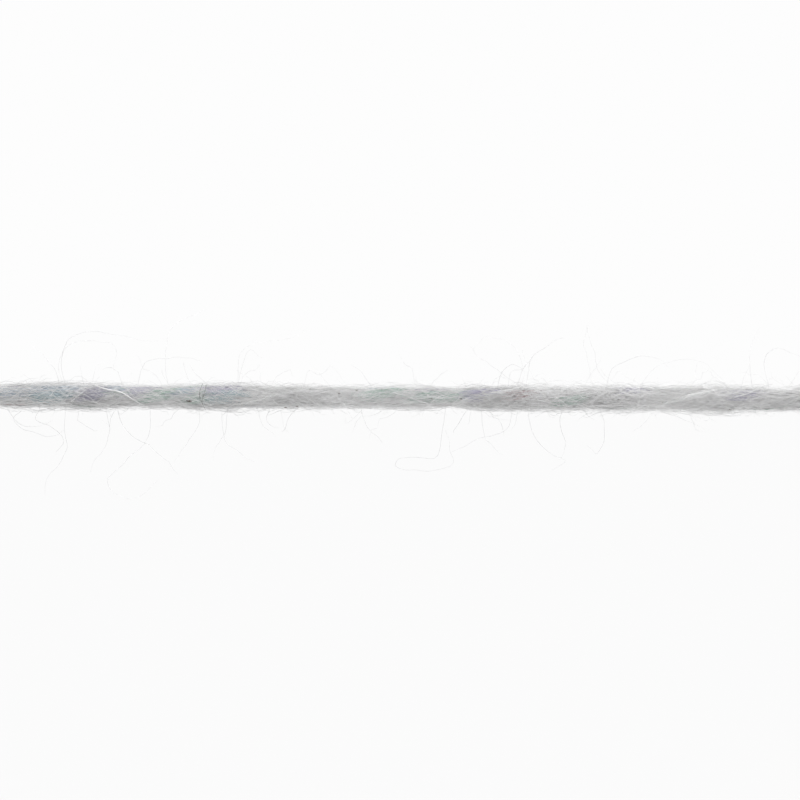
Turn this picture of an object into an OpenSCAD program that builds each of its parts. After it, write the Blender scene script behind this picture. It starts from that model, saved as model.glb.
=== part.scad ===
// A short length of two-ply wool yarn, held taut between two overhand stopper knots.
// Each ply is a core of fibre wrapped by three slivers of dyed fibre. Both plies run
// from tail to tail without a break: tail, knot, free stretch, knot, tail.
// The strand lies along +X. The origin is on the strand's axis, at the left knot's inner face.

/* [Strand] */
// Free length between the inner faces of the two knots
free_length = 74; // [40:1:120]
// Length in which the two plies make one full turn about each other
lay_length = 17.6; // [14:0.2:30]
// Place along the free length where ply A lies on top of ply B
crossing_x = 39; // [30:0.5:50]

/* [Ply] */
// Thickness of one ply, measured out from the strand's axis
ply_thickness = 1.05; // [0.8:0.05:1.6]
// Width of one ply, measured round the strand
ply_width = 1.6; // [1.2:0.05:2.2]
// Share of the ply's thickness and width that its core fills
core_share = 0.45; // [0.3:0.05:0.6]
// Clearance between neighbouring slivers, and between the two plies
fibre_gap = 0.05; // [0.04:0.01:0.08]

/* [Knots] */
// How far the yarn is squeezed where it is knotted, as a share of its free size
knot_squeeze = 0.6; // [0.5:0.05:0.7]
// Clearance between the passes of the yarn inside a knot
knot_gap = 0.12; // [0.1:0.01:0.3]
// Length over which the yarn runs from the axis into a knot
knot_lead = 3.2; // [3:0.1:4.5]

/* [Tails] */
// Length of yarn past the outer face of each knot
tail_length = 8; // [5:0.5:15]
// How far the two plies stand apart at a tail's tip
tail_opening = 2.4; // [1:0.1:4]
// How far the slivers of one ply stand apart at a tail's tip
tail_splay = 0.5; // [0.2:0.05:1]
// Size of a sliver at a tail's tip, as a share of its free size
tail_taper = 0.5; // [0.3:0.05:0.9]

/* [Stray hairs] */
// Thickness of a stray hair
hair_thickness = 0.12; // [0.1:0.01:0.2]
// Length of the longest stray hair
hair_length = 9; // [4:0.5:12]
// Clearance between a hair's root and the ply that it springs from
hair_gap = 0.06; // [0.05:0.01:0.2]
// Hairs on each crown of a ply
hairs_per_crown = 2; // [1:1:4]

/* [Flecks] */
// Length of a fleck of chaff caught on the surface
fleck_length = 0.5; // [0.3:0.05:0.8]
// Thickness of a fleck
fleck_thickness = 0.15; // [0.1:0.01:0.25]
// Clearance between a fleck and the ply that it lies on
fleck_gap = 0.05; // [0.04:0.01:0.2]

/* [Hidden] */

SLIVERS = 3;               // slivers round each core
INNER_SLIVER = 1;          // the sliver that faces the other ply
RINGS_PER_TURN = 10;       // sections in one turn of the lay
RINGS_PER_KNOT = 30;       // sections in one knot's closed loop
RINGS_PER_LEAD = 6;        // sections in one run from the axis into a knot
RINGS_PER_TAIL = 5;        // sections in one tail
OUTER_POINTS = 4;          // points on a sliver's outer arc
KNOT_TURNS = 1.5;          // turns that the loop makes about the strand's axis
KNOT_STRETCH = 0.95;       // half length of the loop's middle line, in knotted yarn diameters
HAIR_SIDES = 3;            // sides of a hair's section
HAIR_STEPS = 6;            // straight pieces in a hair's arc
HAIR_BENDS = [60, 140];    // least and most bend of a hair, in degrees
HAIR_LEAN = 60;            // most lean of a hair away from the strand's run, in degrees
SHORTEST_HAIR = 0.5;       // the shortest hair, as a share of hair_length
CROWN_SHARE = 1 / 6;       // share of a turn on which one crown's hairs have their roots
ROOT_MARGIN = 0.2;         // share of a root's place that stays free at each side of it
FLECK_WIDTH = 1.5;         // width of a fleck, in fleck thicknesses
SEED = 41;                 // fixes the hairs' scatter

// Flecks lie between crowns, at these numbers of half turns from crossing_x.
FLECK_PLACES = [-2.45, -1.57, -1.41, -0.61, -0.48, 0.41, 0.57, 1.56, 2.42];

radial_r = ply_thickness / 2;
round_r = ply_width / 2;
// Moving a sliver out by this much parts it from its neighbours by fibre_gap.
sliver_shift = fibre_gap / (2 * sin(180 / SLIVERS));
ply_offset = radial_r + sliver_shift + fibre_gap / 2;
strand_width = 2 * (ply_offset + radial_r + sliver_shift);
// Hairs and flecks keep at least this far from a knot's face.
edge = strand_width / 2;

// The knot's loop runs round a ring. Its bend and its core are set by the squeezed yarn.
knot_yarn_d = strand_width * knot_squeeze;
knot_core_r = knot_yarn_d / 2 + knot_gap;
knot_bend_r = knot_yarn_d / 2 + knot_gap;
knot_half_length = KNOT_STRETCH * knot_yarn_d;
knot_face = knot_half_length + knot_yarn_d / 2;

left_knot_x = -knot_face;
right_knot_x = free_length + knot_face;

function unit(v) = v / norm(v);
function smooth_step(u) = u * u * (3 - 2 * u);
function mix(a, b, u) = a * (1 - u) + b * u;
function around(x, r, angle) = [x, r * cos(angle), r * sin(angle)];

// A station is [point, size as a share of the free size, how far the tail has opened, 0 to 1].

// An overhand knot about the X axis, centred on x = 0 and run through towards +X.
knot_twist = KNOT_TURNS * 180 / PI / knot_half_length;
function lead_station(s, side) = let (
    u = s / knot_lead,
    r = knot_core_r * (1 + cos(180 * u)) / 2,
    whole = side > 0 ? 360 * KNOT_TURNS : 0
) [
    around(side * s, r, whole + side * knot_twist * s),
    mix(knot_squeeze, 1, smooth_step(u)),
    0
];
function loop_station(t) = [
    around(
        knot_half_length * sin(360 * t),
        knot_core_r + knot_bend_r * (1 - cos(360 * t)),
        360 * KNOT_TURNS * t
    ),
    knot_squeeze,
    0
];
function knot_stations() = concat(
    [for (i = [RINGS_PER_LEAD : -1 : 1]) lead_station(i * knot_lead / RINGS_PER_LEAD, -1)],
    [for (i = [0 : RINGS_PER_KNOT]) loop_station(i / RINGS_PER_KNOT)],
    [for (i = [1 : RINGS_PER_LEAD]) lead_station(i * knot_lead / RINGS_PER_LEAD, 1)]
);
function moved(stations, x) = [for (s = stations) [s[0] + [x, 0, 0], s[1], s[2]]];

// A tail runs straight out along X from the end of a knot's lead.
tail_run = tail_length - (knot_lead - knot_face);
function tail_stations(start, side) = [
    for (i = [1 : RINGS_PER_TAIL])
        let (u = i / RINGS_PER_TAIL) [[start + side * tail_run * u, 0, 0], 1, u * u]
];
function turned_round(list) = [for (i = [len(list) - 1 : -1 : 0]) list[i]];

span = free_length + 2 * (knot_face - knot_lead);
span_rings = ceil(span / lay_length * RINGS_PER_TURN);
stations = concat(
    turned_round(tail_stations(left_knot_x - knot_lead, -1)),
    moved(knot_stations(), left_knot_x),
    [for (i = [1 : span_rings - 1]) [[left_knot_x + knot_lead + span * i / span_rings, 0, 0], 1, 0]],
    moved(knot_stations(), right_knot_x),
    tail_stations(right_knot_x + knot_lead, 1)
);
route = [for (s = stations) s[0]];
LAST = len(route) - 1;

// Directions along the route, and a cross direction carried along it without twisting.
ways = [for (i = [0 : LAST]) unit(route[min(i + 1, LAST)] - route[max(i - 1, 0)])];
function flattened(v, way) = unit(v - (v * way) * way);
crosses = [
    for (i = 0, c = [0, 1, 0]; i <= LAST; i = i + 1, c = i <= LAST ? flattened(c, ways[i]) : c) c
];
steps = [for (i = [0 : LAST]) i == 0 ? 0 : norm(route[i] - route[i - 1])];
lengths = [for (i = 0, s = 0; i <= LAST; i = i + 1, s = i <= LAST ? s + steps[i] : s) s];
route_length = lengths[LAST];
echo(route_length = route_length, strand_width = strand_width, rings = len(route));

// The angle of ply A about the route at each station, in a Z lay. On the free length,
// ply_angle(x) is the same angle about the X axis, counted from +Y, with ply A on top at crossing_x.
first_free = RINGS_PER_TAIL + 2 * RINGS_PER_LEAD + RINGS_PER_KNOT + 1;
function ply_angle(x) = 90 - 360 * (x - crossing_x) / lay_length;
start_angle = ply_angle(route[first_free][0]) - atan2(crosses[first_free][2], crosses[first_free][1]);
lay_angles = [for (s = lengths) start_angle - 360 * (s - lengths[first_free]) / lay_length];

// Section of one sliver in its ply's own axes: x out from the strand's axis, y round it.
function ellipse_point(angle, share) = [
    radial_r * share * cos(angle),
    round_r * share * sin(angle)
];
function sliver_section(k) = let (a = 360 / SLIVERS) concat(
    [for (j = [0 : OUTER_POINTS - 1]) ellipse_point(a * (k + j / (OUTER_POINTS - 1)), 1)],
    [ellipse_point(a * (k + 1), core_share), ellipse_point(a * k, core_share)]
);
function core_section() = [
    for (k = [0 : SLIVERS - 1]) ellipse_point(360 / SLIVERS * k, core_share)
];

// Places a section at station i. outward moves it from the ply's centre along a direction.
function placed(section, i, turn, outward, splay) = let (
    size = stations[i][1],
    open = stations[i][2],
    taper = mix(1, tail_taper, open),
    centre = (ply_offset + open * tail_opening / 2) * size,
    angle = lay_angles[i] + turn,
    c = crosses[i],
    b = cross(ways[i], c),
    out = c * cos(angle) + b * sin(angle),
    along = b * cos(angle) - c * sin(angle),
    shift = outward * (sliver_shift * size + splay * open)
) [
    for (p = section)
        let (q = p * size * taper + shift) route[i] + out * (centre + q[0]) + along * q[1]
];

// A closed solid through equal rings. crossed[j] says which way side j's quads are split,
// so that two faces that lie against each other are split alike.
module skinned(rings, crossed) {
    n = len(rings[0]);
    m = len(rings);
    sides = [
        for (i = [0 : m - 2], j = [0 : n - 1])
            let (
                a = i * n + j, b = i * n + (j + 1) % n,
                c = a + n, d = b + n
            ) each crossed[j] ? [[a, b, c], [b, d, c]] : [[a, b, d], [a, d, c]]
    ];
    start = [for (j = [1 : n - 2]) [0, j + 1, j]];
    finish = [for (j = [1 : n - 2]) (m - 1) * n * [1, 1, 1] + [0, j, j + 1]];
    polyhedron(
        points = [for (r = rings) each r],
        faces = [for (f = concat(sides, start, finish)) [f[0], f[2], f[1]]]
    );
}

module sliver(k, turn) {
    mid = unit(ellipse_point(360 / SLIVERS * (k + 0.5), 1));
    section = sliver_section(k);
    // The last side faces the sliver before, and is split the other way. So is the middle of
    // ply B's inner arc, because it faces the same arc of ply A.
    facing = turn != 0 && k == INNER_SLIVER ? OUTER_POINTS / 2 - 1 : -1;
    crossed = [for (j = [0 : len(section) - 1]) j == len(section) - 1 || j == facing];
    skinned([for (i = [0 : LAST]) placed(section, i, turn, mid, tail_splay)], crossed);
}

module ply_core(turn) {
    section = core_section();
    crossed = [for (p = section) true];
    skinned([for (i = [0 : LAST]) placed(section, i, turn, [0, 0], 0)], crossed);
}

// A hair is an arc that leaves its root square to the strand and bends over towards lean,
// an angle about that way out.
module hair(root_x, angle, length, bend, lean) {
    root_r = strand_width / 2 + hair_gap + hair_thickness / 2;
    root = around(root_x, root_r, angle);
    out = around(0, 1, angle);
    over = [cos(lean), 0, 0] + sin(lean) * around(0, 1, angle + 90);
    beside = cross(over, out);
    bend_r = length / (bend * PI / 180);
    rings = [
        for (i = [0 : HAIR_STEPS])
            let (
                b = bend * i / HAIR_STEPS,
                at = root + bend_r * (out * sin(b) + over * (1 - cos(b))),
                across = over * cos(b) - out * sin(b)
            ) [
                for (j = [0 : HAIR_SIDES - 1])
                    let (w = 360 * j / HAIR_SIDES)
                        at + hair_thickness / 2 * (beside * cos(w) + across * sin(w))
            ]
    ];
    skinned(rings, [for (j = [1 : HAIR_SIDES]) false]);
}

// Hairs spring from the crowns, where one ply stands on top, or at the bottom for side = -1.
first_crown = ceil((edge - crossing_x) / lay_length * 2);
last_crown = floor((free_length - edge - crossing_x) / lay_length * 2);
module stray_hairs(side, seed) {
    for (crown = [first_crown : last_crown], h = [0 : hairs_per_crown - 1]) {
        draw = rands(0, 1, 4, seed + 10 * crown + h);
        // Each root has a place of its own on the crown.
        place = h + mix(ROOT_MARGIN, 1 - ROOT_MARGIN, draw[0]);
        off = (place / hairs_per_crown - 0.5) * lay_length * CROWN_SHARE;
        root_x = min(max(crossing_x + crown * lay_length / 2 + off, edge), free_length - edge);
        hair(
            root_x,
            side * 90 - 360 * off / lay_length,
            hair_length * mix(SHORTEST_HAIR, 1, draw[1]),
            mix(HAIR_BENDS[0], HAIR_BENDS[1], draw[2]),
            (draw[3] > 0.5 ? 0 : 180) + mix(-HAIR_LEAN, HAIR_LEAN, draw[3] * 2 % 1)
        );
    }
}

// Each fleck lies flat on the crown of the ply that faces -Y there.
module chaff() {
    reach = strand_width / 2 + fleck_gap + fleck_thickness / 2;
    for (place = FLECK_PLACES) {
        at = crossing_x + place * lay_length / 2;
        angle = ply_angle(at) + (cos(ply_angle(at)) > 0 ? 180 : 0);
        if (at > edge && at < free_length - edge)
            translate(around(at, reach, angle))
                rotate([angle, 0, 0])
                    cube([fleck_length, fleck_thickness, fleck_thickness * FLECK_WIDTH], center = true);
    }
}

module ply_a_core() { color("#b4b8bb") ply_core(0); }
module ply_a_grey_sliver() { color("#c3c6c8") sliver(0, 0); }
module ply_a_blue_sliver() { color("#aab7c4") sliver(1, 0); }
module ply_a_green_sliver() { color("#b5c4bd") sliver(2, 0); }
module ply_b_core() { color("#b4b8bb") ply_core(180); }
module ply_b_grey_sliver() { color("#bcbfc2") sliver(0, 180); }
module ply_b_lilac_sliver() { color("#bdb9c8") sliver(1, 180); }
module ply_b_white_sliver() { color("#d2d4d5") sliver(2, 180); }
module stray_hairs_upper() { color("#dfe1e3") stray_hairs(1, SEED); }
module stray_hairs_lower() { color("#dfe1e3") stray_hairs(-1, SEED + 500); }
module chaff_flecks() { color("#5d5650") chaff(); }

ply_a_core();
ply_a_grey_sliver();
ply_a_blue_sliver();
ply_a_green_sliver();
ply_b_core();
ply_b_grey_sliver();
ply_b_lilac_sliver();
ply_b_white_sliver();
stray_hairs_upper();
stray_hairs_lower();
chaff_flecks();
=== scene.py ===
import math
from functools import partial

import bpy
import numpy as np
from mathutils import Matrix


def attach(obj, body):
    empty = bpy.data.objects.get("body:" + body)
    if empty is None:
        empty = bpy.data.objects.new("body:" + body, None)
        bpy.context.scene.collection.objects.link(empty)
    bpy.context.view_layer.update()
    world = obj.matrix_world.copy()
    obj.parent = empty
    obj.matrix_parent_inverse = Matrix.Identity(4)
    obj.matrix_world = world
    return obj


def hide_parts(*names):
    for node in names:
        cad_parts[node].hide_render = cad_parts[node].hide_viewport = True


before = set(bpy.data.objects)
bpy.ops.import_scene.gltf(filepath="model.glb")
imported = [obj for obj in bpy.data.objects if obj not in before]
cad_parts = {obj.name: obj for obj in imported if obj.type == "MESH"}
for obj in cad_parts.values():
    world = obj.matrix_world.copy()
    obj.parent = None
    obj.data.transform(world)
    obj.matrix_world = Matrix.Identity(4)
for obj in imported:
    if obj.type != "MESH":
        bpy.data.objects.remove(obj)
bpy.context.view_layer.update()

MM = 0.001

# -------- sizes of the strand, in mm
FREE_LENGTH = 74.0  # between the knots
LAY_LENGTH = 17.6  # one full turn of the plies
CROSSING_X = 39.0  # where ply A stands on top
PLY_THICKNESS = 1.05  # of a ply, outwards from the strand's axis
PLY_WIDTH = 1.6  # of a ply, round the axis
FIBRE_GAP = 0.05  # between neighbours
SLIVERS = 3  # in a ply
SKIN_R = 0.85  # of the loose fibres that lie over both plies
SKIN_EDGE = 0.97  # greatest height of what lies on them, as a share
KNOT_SQUEEZE = 0.6  # size of the yarn in a knot, as a share
KNOT_GAP = 0.12
KNOT_LEAD = 3.2
KNOT_TURNS = 1.5
KNOT_STRETCH = 0.95
TAIL_LENGTH = 8.0
TAIL_OPENING = 2.4
TAIL_SPLAY = 0.5
TAIL_TAPER = 0.5

RADIAL_R = PLY_THICKNESS / 2
ROUND_R = PLY_WIDTH / 2
SLIVER_SHIFT = FIBRE_GAP / (2 * math.sin(math.pi / SLIVERS))
PLY_OFFSET = RADIAL_R + SLIVER_SHIFT + FIBRE_GAP / 2
STRAND_WIDTH = 2 * (PLY_OFFSET + RADIAL_R + SLIVER_SHIFT)
KNOT_YARN = STRAND_WIDTH * KNOT_SQUEEZE
KNOT_CORE_R = KNOT_YARN / 2 + KNOT_GAP
KNOT_HALF = KNOT_STRETCH * KNOT_YARN
KNOT_FACE = KNOT_HALF + KNOT_YARN / 2
LEFT_KNOT_X = -KNOT_FACE
RIGHT_KNOT_X = FREE_LENGTH + KNOT_FACE
TAIL_RUN = TAIL_LENGTH - (KNOT_LEAD - KNOT_FACE)

# Stations along the route.
TAIL_STATIONS = 30
LEAD_STATIONS = 24
LOOP_STATIONS = 120
FREE_STATIONS = 360

# Thick and thin places of the spun yarn: place along X in mm, and size as a share of the usual.
THICK_AND_THIN = (
    (0, 0.86), (2.7, 0.84), (4.4, 0.95), (7.8, 1.11), (11.3, 1.08), (14.7, 0.92), (17.5, 0.95),
    (19.8, 1.03), (23.3, 1.01), (28, 0.93), (31.8, 0.85), (35.3, 0.98), (37.5, 0.98), (41.2, 0.76),
    (43, 1.0), (47, 1.02), (50, 1.02), (54.2, 1.06), (57.5, 0.99), (61, 1.08), (64, 1.15), (67.9, 1.04),
    (70, 0.98), (74, 1.0),
)
# Paler and darker places along the strand: place along X in mm, and change of shade.
PALE_AND_DARK = (
    (0, -0.1), (5, -0.15), (9, -0.28), (13.5, -0.05), (17.5, -0.18), (22, -0.12), (26.5, -0.14),
    (30.5, 0.08), (35, 0), (39, 0.16), (43.5, -0.15), (47.5, -0.12), (52, 0.06), (56.5, 0.18),
    (60.5, 0), (65, 0.12), (69, 0.04),
)


# -------- the strand's route
def around(x, r, degrees):
    """A point at radius r about the X axis, at an angle counted from +Y towards +Z."""
    angle = math.radians(degrees)
    return np.array([x, r * math.cos(angle), r * math.sin(angle)])


def lead_station(s, side):
    """The yarn on its way from the axis into a knot: point and size."""
    u = s / KNOT_LEAD
    r = KNOT_CORE_R * (1 + math.cos(math.pi * u)) / 2
    whole = 360 * KNOT_TURNS if side > 0 else 0
    twist = math.degrees(KNOT_TURNS / KNOT_HALF)
    eased = u * u * (3 - 2 * u)
    return around(side * s, r, whole + side * twist * s), KNOT_SQUEEZE * (1 - eased) + eased


def loop_station(t):
    """The yarn on the closed loop of an overhand knot: point and size."""
    turn = 2 * math.pi * t
    r = KNOT_CORE_R + KNOT_CORE_R * (1 - math.cos(turn))
    return around(KNOT_HALF * math.sin(turn), r, 360 * KNOT_TURNS * t), KNOT_SQUEEZE


def knot_stations(x):
    """One knot, centred on x and run through towards +X."""
    steps = [i * KNOT_LEAD / LEAD_STATIONS for i in range(1, LEAD_STATIONS + 1)]
    found = [lead_station(s, -1) for s in reversed(steps)]
    found += [loop_station(i / LOOP_STATIONS) for i in range(LOOP_STATIONS + 1)]
    found += [lead_station(s, 1) for s in steps]
    return [(point + [x, 0, 0], size, 0.0) for point, size in found]


def tail_stations(start, side):
    """A tail, which opens towards its tip."""
    shares = [i / TAIL_STATIONS for i in range(1, TAIL_STATIONS + 1)]
    return [(np.array([start + side * TAIL_RUN * u, 0, 0]), 1.0, u * u) for u in shares]


def unit(v):
    """A direction's unit vector."""
    return v / np.linalg.norm(v)


def make_route():
    """The strand's line with its directions and sizes at each station, in metres."""
    free_start = LEFT_KNOT_X + KNOT_LEAD
    free_run = RIGHT_KNOT_X - KNOT_LEAD - free_start
    stations = tail_stations(LEFT_KNOT_X - KNOT_LEAD, -1)[::-1] + knot_stations(LEFT_KNOT_X)
    first_free = len(stations)
    for i in range(1, FREE_STATIONS):
        stations.append((np.array([free_start + free_run * i / FREE_STATIONS, 0, 0]), 1.0, 0.0))
    last_free = len(stations)
    stations += knot_stations(RIGHT_KNOT_X) + tail_stations(RIGHT_KNOT_X + KNOT_LEAD, 1)
    points = np.array([s[0] for s in stations])
    size = np.array([s[1] for s in stations])
    size *= np.interp(points[:, 0], *zip(*THICK_AND_THIN))
    opening = np.array([s[2] for s in stations])
    shade = np.interp(points[:, 0], *zip(*PALE_AND_DARK))
    ahead = np.vstack([points[1:], points[-1:]])
    behind = np.vstack([points[:1], points[:-1]])
    ways = np.array([unit(v) for v in ahead - behind])
    cross = np.array([0.0, 1.0, 0.0])
    crosses = []
    for way in ways:
        cross = unit(cross - (cross @ way) * way)
        crosses.append(cross)
    crosses = np.array(crosses)
    run = np.concatenate([[0], np.cumsum(np.linalg.norm(np.diff(points, axis=0), axis=1))])
    # Ply A stands on top at CROSSING_X, and both plies turn about the route in a Z lay.
    wanted = 90 - 360 * (points[first_free, 0] - CROSSING_X) / LAY_LENGTH
    carried = math.degrees(math.atan2(crosses[first_free, 2], crosses[first_free, 1]))
    lay = np.radians(wanted - carried - 360 * (run - run[first_free]) / LAY_LENGTH)[:, None]
    third = np.cross(ways, crosses)
    return {
        "points": points * MM,
        "run": run * MM,
        "out": crosses * np.cos(lay) + third * np.sin(lay),
        "beside": third * np.cos(lay) - crosses * np.sin(lay),
        "build": np.stack([size, opening, shade], axis=1),
        "free": slice(first_free, last_free),
    }


ROUTE = make_route()
ROUTE_LENGTH = float(ROUTE["run"][-1])


def on_skin(x, z, back=False):
    """The surface at x and height z in mm, towards -Y or at the back: (place, angle from ply A, y)."""
    free = ROUTE["free"]
    i = free.start + int(np.abs(ROUTE["points"][free, 0] - x * MM).argmin())
    size = ROUTE["build"][i, 0]
    edge = SKIN_EDGE * SKIN_R * size
    z = max(min(z, edge), -edge)
    y = math.sqrt((SKIN_R * size) ** 2 - z * z) * (1 if back else -1)
    out = ROUTE["out"][i]
    return float(ROUTE["run"][i]), math.atan2(z, y) - math.atan2(out[2], out[1]), y


# -------- helpers
def add(tree, kind, inputs=None, **settings):
    """Adds a node with its settings. inputs gives values or links by a socket's name, or by its number
    among the open ones."""
    node = tree.nodes.new(kind)
    for name, value in settings.items():
        setattr(node, name, value)
    open_sockets = [s for s in node.inputs if s.enabled]
    for key, value in (inputs or {}).items():
        socket = open_sockets[key] if isinstance(key, int) else node.inputs[key]
        if isinstance(value, bpy.types.Node):
            value = next(s for s in value.outputs if s.enabled)
        if isinstance(value, bpy.types.NodeSocket):
            tree.links.new(value, socket)
        else:
            socket.default_value = value
    return node


def blank_nodes(data):
    """Empties the nodes of a material or a world, and gives put to add new ones."""
    data.use_nodes = True
    data.node_tree.nodes.clear()
    return partial(add, data.node_tree)


def linear(hex_colour):
    """An sRGB hex colour as linear RGBA."""
    parts = [int(hex_colour[i:i + 2], 16) / 255 for i in (1, 3, 5)]
    return [c / 12.92 if c <= 0.04045 else ((c + 0.055) / 1.055) ** 2.4 for c in parts] + [1.0]


def linked(name, data):
    """A new object at the origin, in the scene."""
    made = bpy.data.objects.new(name, data)
    bpy.context.scene.collection.objects.link(made)
    return made


def line_mesh(name, lines, **facts):
    """A mesh of open lines, with one attribute for each of facts at its points."""
    mesh = bpy.data.meshes.new(name)
    starts = np.cumsum([0] + [len(line) for line in lines])
    edges = [(i, i + 1) for a, b in zip(starts[:-1], starts[1:]) for i in range(a, b - 1)]
    mesh.from_pydata(np.concatenate(lines).tolist(), edges, [])
    for fact, values in facts.items():
        values = np.asarray(values, np.float32)
        if values.ndim == 2:
            mesh.attributes.new(fact, "FLOAT_VECTOR", "POINT").data.foreach_set("vector", values.ravel())
        else:
            mesh.attributes.new(fact, "FLOAT", "POINT").data.foreach_set("value", values)
    return mesh


def grown(name, mesh, tree, **inputs):
    """The mesh after the tree as a plain mesh object. Inputs are set by the sockets' identifiers."""
    source = linked(name + "_source", mesh)
    modifier = source.modifiers.new("Grown", "NODES")
    modifier.node_group = tree
    sockets = {s.name: s.identifier for s in tree.interface.items_tree if s.in_out == "INPUT"}
    for key, value in inputs.items():
        modifier[sockets[key.replace("_", " ")]] = value
    evaluated = source.evaluated_get(bpy.context.evaluated_depsgraph_get())
    result = bpy.data.meshes.new_from_object(evaluated)
    source.modifiers.clear()
    bpy.data.objects.remove(source)
    result.name = name
    return linked(name, result)


def new_tree(name, numbers, **others):
    """A geometry tree, put to add its nodes, and what the tree is given: plain numbers, and others, each
    with its kind of socket."""
    tree = bpy.data.node_groups.new(name, "GeometryNodeTree")
    kinds = {"Geometry": "Geometry"} | dict.fromkeys(numbers, "Float") | others
    for given, kind in kinds.items():
        tree.interface.new_socket(given, in_out="INPUT", socket_type="NodeSocket" + kind)
    tree.interface.new_socket("Geometry", in_out="OUTPUT", socket_type="NodeSocketGeometry")
    put = partial(add, tree)
    return tree, put, put("NodeGroupInput").outputs


# -------- camera, light and floor
STRAND_MIDDLE = 37.0 * MM
CAMERA_DISTANCE = 190.6 * MM
CAMERA_DROP = 0.215 * MM
CAMERA_ROLL = math.radians(0.26)
LENS = 100
FILM_WIDTH = 36
LAMP_STRENGTH = 3.6
LAMP_BREADTH = math.radians(70)
LAMP_LEAN = math.radians(10)
FILL_STRENGTH = 0.36
PALE = (0.982, 0.982, 0.982, 1)
FLOOR_Z = -45.0 * MM
FLOOR_HALF = 400.0  # far enough for its edge to meet the horizon
FLOOR_PAPER = "#e6e6e6"
FLOOR_GLOW = (0.754, 0.754, 0.754, 1)
FLOOR_MIX = 0.5  # share of the glow in what the camera sees, so that the floor looks white


def make_camera():
    """A long lens, level and square to the strand, rolled by a hair."""
    camera = linked("camera", bpy.data.cameras.new("camera"))
    camera.data.lens = LENS
    camera.data.sensor_width = FILM_WIDTH
    camera.data.clip_start = 0.01
    camera.location = (STRAND_MIDDLE, -CAMERA_DISTANCE, -CAMERA_DROP)
    camera.rotation_euler = (math.radians(90), -CAMERA_ROLL, 0)
    bpy.context.scene.camera = camera


def make_light():
    """A broad soft lamp above and a little in front, and an even pale surround."""
    lamp = linked("soft_top_light", bpy.data.lights.new("soft_top_light", "SUN"))
    lamp.data.energy = LAMP_STRENGTH
    lamp.data.angle = LAMP_BREADTH
    lamp.location = (STRAND_MIDDLE, -0.12, 0.42)
    lamp.rotation_euler = (LAMP_LEAN, 0, 0)
    world = bpy.data.worlds.new("pale_surround")
    bpy.context.scene.world = world
    put = blank_nodes(world)
    path = put("ShaderNodeLightPath")
    seen = put("ShaderNodeMath", {0: path.outputs["Is Camera Ray"], 1: path.outputs["Is Glossy Ray"]},
               operation="MAXIMUM")
    seen = put("ShaderNodeMath", {0: seen, 1: path.outputs["Is Transmission Ray"]}, operation="MAXIMUM")
    fill = put("ShaderNodeBackground", {"Color": (1, 1, 1, 1), "Strength": FILL_STRENGTH})
    backdrop = put("ShaderNodeBackground", {"Color": PALE, "Strength": 1.0})
    mix = put("ShaderNodeMixShader", {0: seen, 1: fill, 2: backdrop})
    put("ShaderNodeOutputWorld", {"Surface": mix})


def make_floor():
    """A floor of matt pale paper, which shows white but still takes a shadow."""
    mesh = bpy.data.meshes.new("floor")
    corners = [(-1, -1), (1, -1), (1, 1), (-1, 1)]
    mesh.from_pydata([(x * FLOOR_HALF, y * FLOOR_HALF, FLOOR_Z) for x, y in corners], [], [(0, 1, 2, 3)])
    floor = linked("floor", mesh)
    material = bpy.data.materials.new("matt white paper")
    put = blank_nodes(material)
    path = put("ShaderNodeLightPath")
    paper = put("ShaderNodeBsdfDiffuse", {"Color": linear(FLOOR_PAPER)})
    glow = put("ShaderNodeEmission", {"Color": FLOOR_GLOW, "Strength": 1.0})
    seen = put("ShaderNodeMath", {0: path.outputs["Is Camera Ray"], 1: FLOOR_MIX}, operation="MULTIPLY")
    mix = put("ShaderNodeMixShader", {0: seen, 1: paper, 2: glow})
    put("ShaderNodeOutputMaterial", {"Surface": mix})
    mesh.materials.append(material)


make_camera()
make_light()
make_floor()
bpy.context.scene.view_settings.view_transform = "Standard"


# -------- materials
UNEVEN_COUNTS = (60, 4, 1)  # changes of shade over the strand's length, and over the range of shades
UNEVEN_NOISE = (0.3, 0.7)  # the usual reach of the noise
UNEVEN_SHADE = 0.12


def wool(name, darkest, middle, palest, sheen=0.25):
    """Carded and spun wool, a matt fibre with a faint sheen at its edge. A piece's own map holds the place
    along the strand in U and the fibre's shade in V, so that each fibre has its own depth of grey or dye,
    with slow changes along the strand where the carding was uneven."""
    material = bpy.data.materials.new(name)
    put = blank_nodes(material)
    uv = put("ShaderNodeUVMap", uv_map="OFBake")
    place = put("ShaderNodeSeparateXYZ", {0: uv.outputs["UV"]})
    stretched = put("ShaderNodeVectorMath", {0: uv.outputs["UV"], 1: UNEVEN_COUNTS}, operation="MULTIPLY")
    uneven = put("ShaderNodeTexNoise", {"Vector": stretched, "Scale": 1.0, "Detail": 2.0})
    shift = put("ShaderNodeMapRange", {0: uneven.outputs["Fac"], 1: UNEVEN_NOISE[0], 2: UNEVEN_NOISE[1],
                                       3: -UNEVEN_SHADE, 4: UNEVEN_SHADE})
    shade = put("ShaderNodeMath", {0: place.outputs["Y"], 1: shift}, operation="ADD", use_clamp=True)
    ramp = put("ShaderNodeValToRGB", {0: shade})
    ramp.color_ramp.elements[0].color = linear(darkest)
    ramp.color_ramp.elements[1].color = linear(palest)
    ramp.color_ramp.elements.new(0.5).color = linear(middle)
    surface = put("ShaderNodeBsdfPrincipled", {
        "Base Color": ramp, "Roughness": 0.75, "IOR": 1.55, "Specular IOR Level": 0.3,
        "Sheen Weight": sheen, "Sheen Roughness": 0.5,
    })
    put("ShaderNodeOutputMaterial", {"Surface": surface})
    return material


# The ground of the yarn: soft, matt greys.
GREY_WOOL = wool("carded grey wool", "#c6c6c6", "#dadada", "#eeeeee")
# Undyed fleece, near white, which streaks the greys.
PALE_WOOL = wool("carded undyed white wool", "#dedede", "#eaeaea", "#f6f6f6")
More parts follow.
